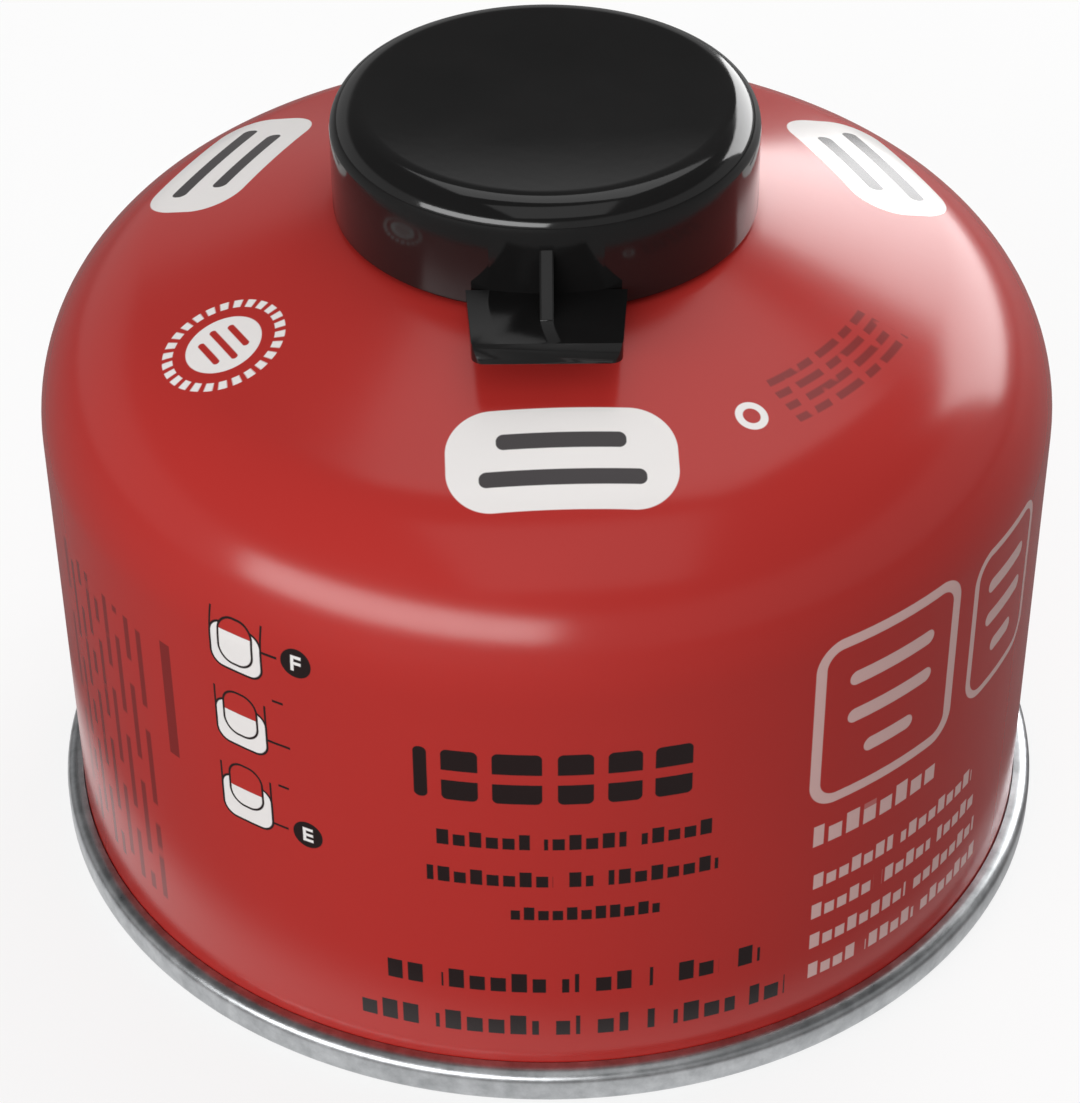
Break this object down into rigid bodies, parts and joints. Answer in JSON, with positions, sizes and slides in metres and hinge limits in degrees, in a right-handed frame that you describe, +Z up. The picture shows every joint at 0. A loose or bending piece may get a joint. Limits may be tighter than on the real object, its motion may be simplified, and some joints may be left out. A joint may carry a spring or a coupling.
{
  "type": "fuel canister",
  "caption": "Squat round camping-stove fuel canister with a rounded shoulder, rolled bottom seam, threaded valve under a pull-off snap cap with a front tab.",
  "frame": {"origin": "on the floor at the middle of the bottom seam", "axes": "+Z up along the can's axis towards the valve, -Y towards the cap's pull tab"},
  "size_m": [0.09, 0.09, 0.0699],
  "materials": {
    "body_paint": null,
    "tinplate": "bright tinplate",
    "seal_rubber": "matt",
    "valve_plastic": "satin natural",
    "spring_steel": "bright wire",
    "cap_plastic": "glossy black moulding"
  },
  "bodies": {
    "can": {"can_body": "body_paint", "bottom_end": "tinplate", "valve_cup": "tinplate", "cup_seal": "seal_rubber", "stem_seal": "seal_rubber", "valve_housing": "valve_plastic", "valve_spring": "spring_steel"},
    "plunger": {"valve_stem": "valve_plastic"},
    "cap": {"cap": "cap_plastic"}
  },
  "joints": [
    {"name": "valve_press", "type": "slide", "parent": "can", "child": "plunger", "axis": [0, 0, -1], "range_m": [0, 0.0016], "stiffness_N_per_m": 2000, "deforming": ["valve_spring"]},
    {"name": "cap_pull", "type": "slide", "parent": "can", "child": "cap", "axis": [0, 0, 1], "range_m": [0, 0.04]}
  ]
}
